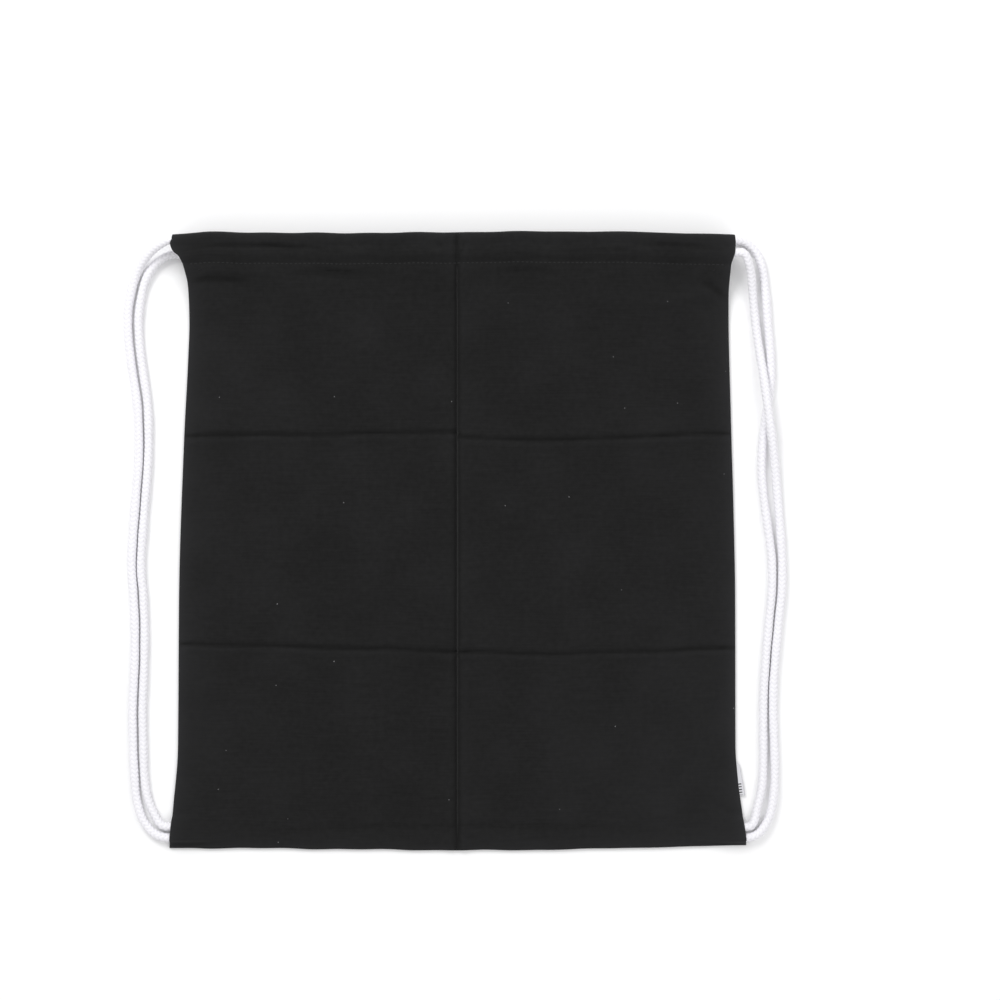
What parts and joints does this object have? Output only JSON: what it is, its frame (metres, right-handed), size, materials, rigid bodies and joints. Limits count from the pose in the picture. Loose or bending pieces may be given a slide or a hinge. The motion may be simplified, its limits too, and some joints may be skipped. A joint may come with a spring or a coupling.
{
  "type": "drawstring backpack",
  "caption": "Flat cotton drawstring backpack: a sewn two-panel pouch, a casing round its mouth, and braided cords that draw it shut and serve as shoulder straps",
  "frame": {"origin": "on the table under the middle of the bag, which lies on its back panel", "axes": "+X to the bag's right as seen from its front, +Y towards the mouth, +Z out of the front panel"},
  "size_m": [0.4559, 0.42, 0.0202],
  "materials": {
    "black_cotton": "plain-weave cotton, matt, black, lightly creased",
    "black_thread": "spun polyester sewing and overlock thread, black",
    "cord_cotton": "braided cotton cord, white, soft",
    "label_weave": "woven satin label, white, unprinted"
  },
  "bodies": {
    "bag": {"back_casing_stitching": "black_thread", "back_panel": "black_cotton", "bottom_seam": "black_thread", "left_cord_back_run": "cord_cotton", "left_cord_ends": "cord_cotton", "left_cord_turn": "cord_cotton", "left_side_seam": "black_thread", "right_cord_back_run": "cord_cotton", "right_cord_ends": "cord_cotton", "right_cord_turn": "cord_cotton", "right_side_seam": "black_thread"},
    "front": {"front_panel": "black_cotton", "front_casing_stitching": "black_thread", "left_cord_front_run": "cord_cotton", "right_cord_front_run": "cord_cotton"},
    "left_strap": {"left_cord_back_strand": "cord_cotton", "left_cord_front_strand": "cord_cotton"},
    "right_strap": {"right_cord_back_strand": "cord_cotton", "right_cord_front_strand": "cord_cotton"},
    "label": {"side_label": "label_weave"}
  },
  "joints": [
    {"name": "mouth_open", "type": "hinge", "parent": "bag", "child": "front", "pos_m": [0, -0.21, 0.0024], "axis": [1, 0, 0], "range_deg": [0, 10]},
    {"name": "left_strap_swing", "type": "hinge", "parent": "bag", "child": "left_strap", "pos_m": [-0.1955, 0.2058, 0.0163], "axis": [0.0162, 0.9994, 0.0306], "range_deg": [0, 90]},
    {"name": "right_strap_swing", "type": "hinge", "parent": "bag", "child": "right_strap", "pos_m": [0.1955, 0.1968, 0.0163], "axis": [0.0165, -0.9994, -0.0313], "range_deg": [0, 90]},
    {"name": "label_flip", "type": "hinge", "parent": "bag", "child": "label", "pos_m": [0.19472, -0.1755, 0.0012], "axis": [0.1302, -0.9915, 0], "range_deg": [0, 90]}
  ]
}
